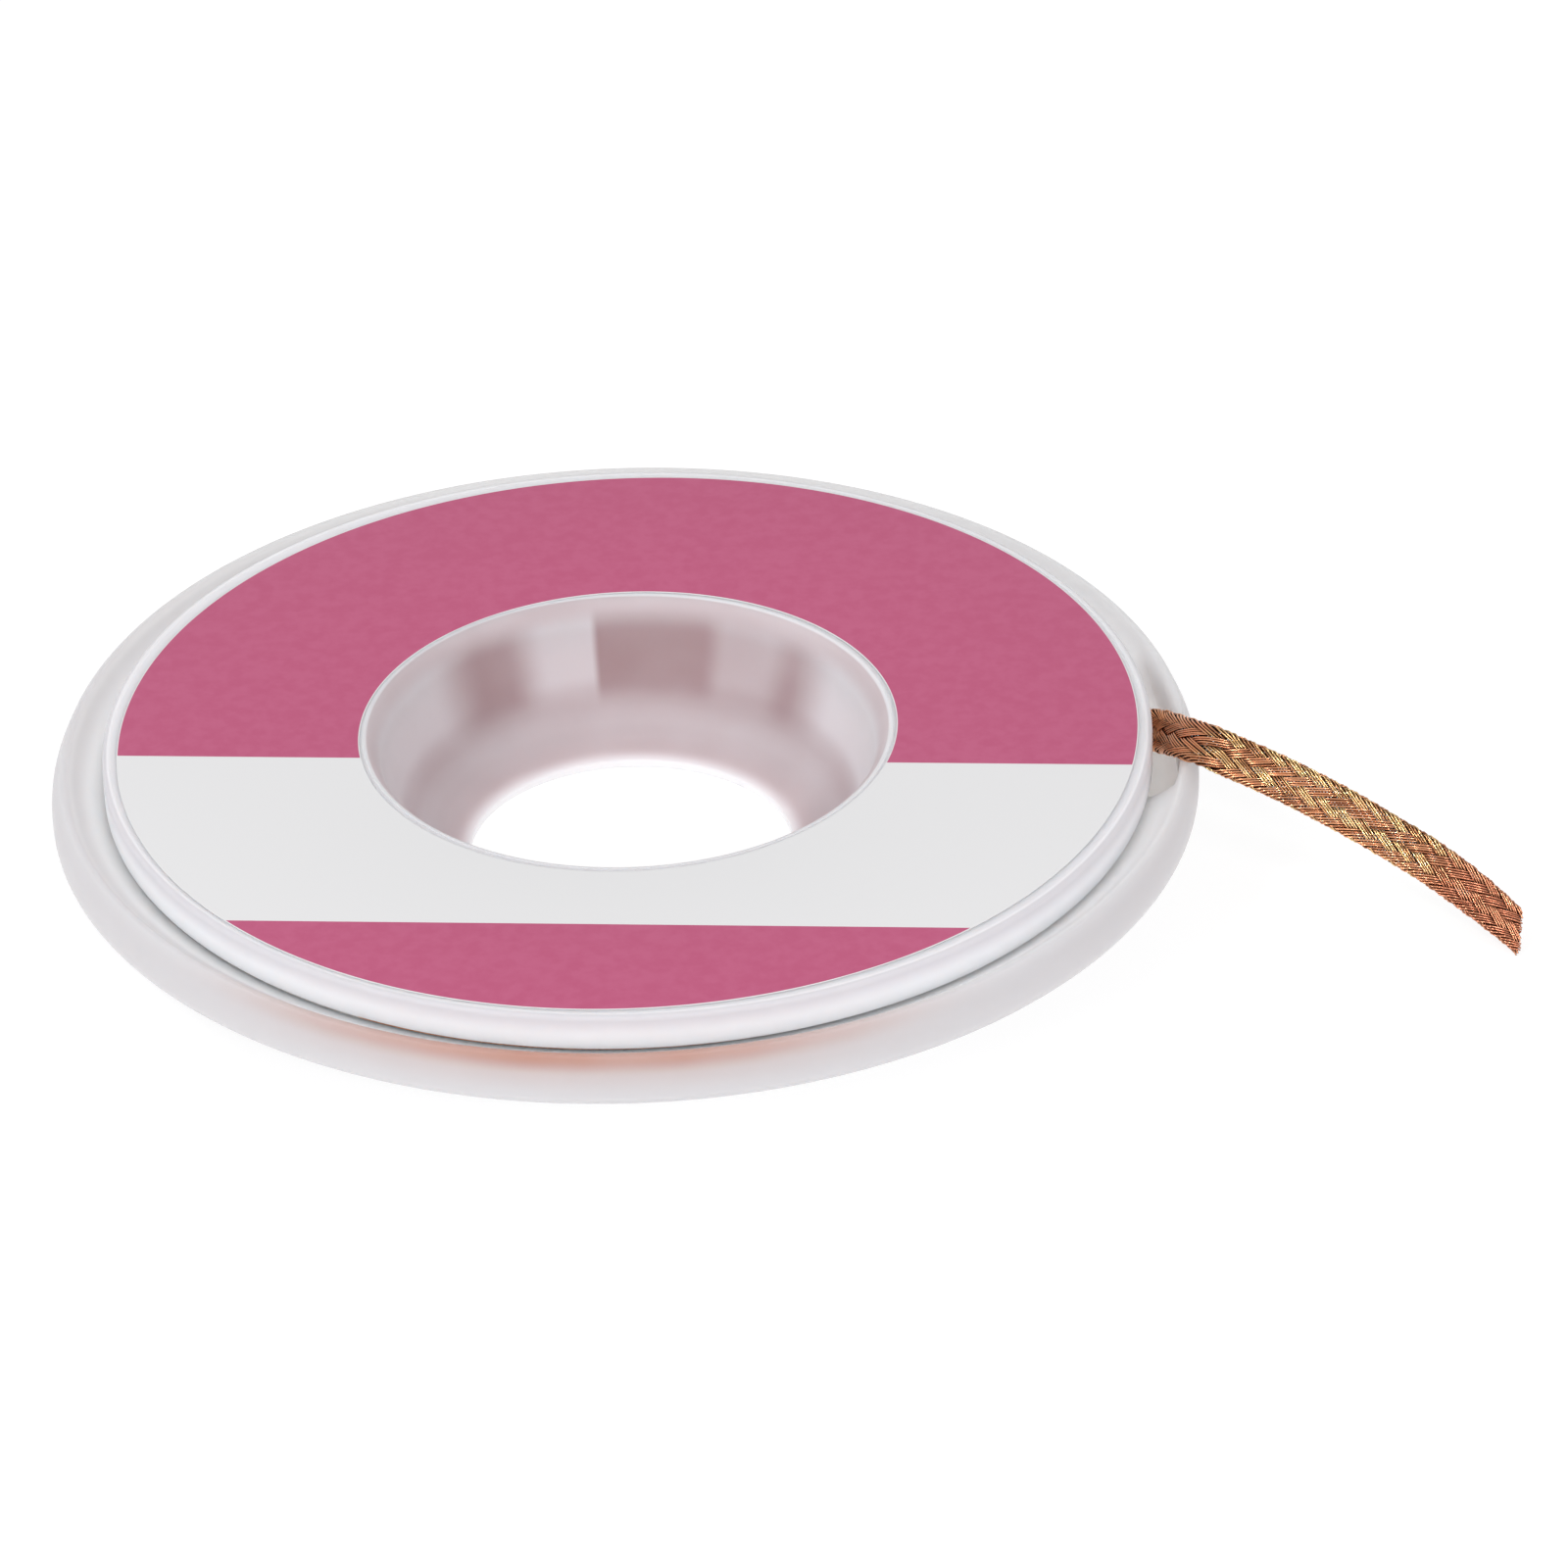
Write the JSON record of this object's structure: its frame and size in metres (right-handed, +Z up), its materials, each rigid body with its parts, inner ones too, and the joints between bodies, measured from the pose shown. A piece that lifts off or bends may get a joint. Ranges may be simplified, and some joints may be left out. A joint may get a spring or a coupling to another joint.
{
  "type": "desoldering braid",
  "caption": "Flat white disc bobbin of flattened copper desoldering braid, with a funnel hub and a paper label; the braid's free end comes out between the rims and soaks up molten solder.",
  "frame": {"origin": "centre of the bobbin's base, on the surface it lies on", "axes": "+Z up along the hub's axis, out of the labelled face; +X towards the side where the braid's free end comes out"},
  "size_m": [0.0688, 0.0542, 0.0082],
  "materials": {
    "white_plastic": "satin",
    "label_paper": "satin",
    "copper_braid": "satin"
  },
  "bodies": {
    "root": {"top_flange": "white_plastic", "bottom_dish": "white_plastic", "paper_label": "label_paper", "braid_winding": "copper_braid", "braid_tail": "copper_braid"}
  },
  "joints": []
}
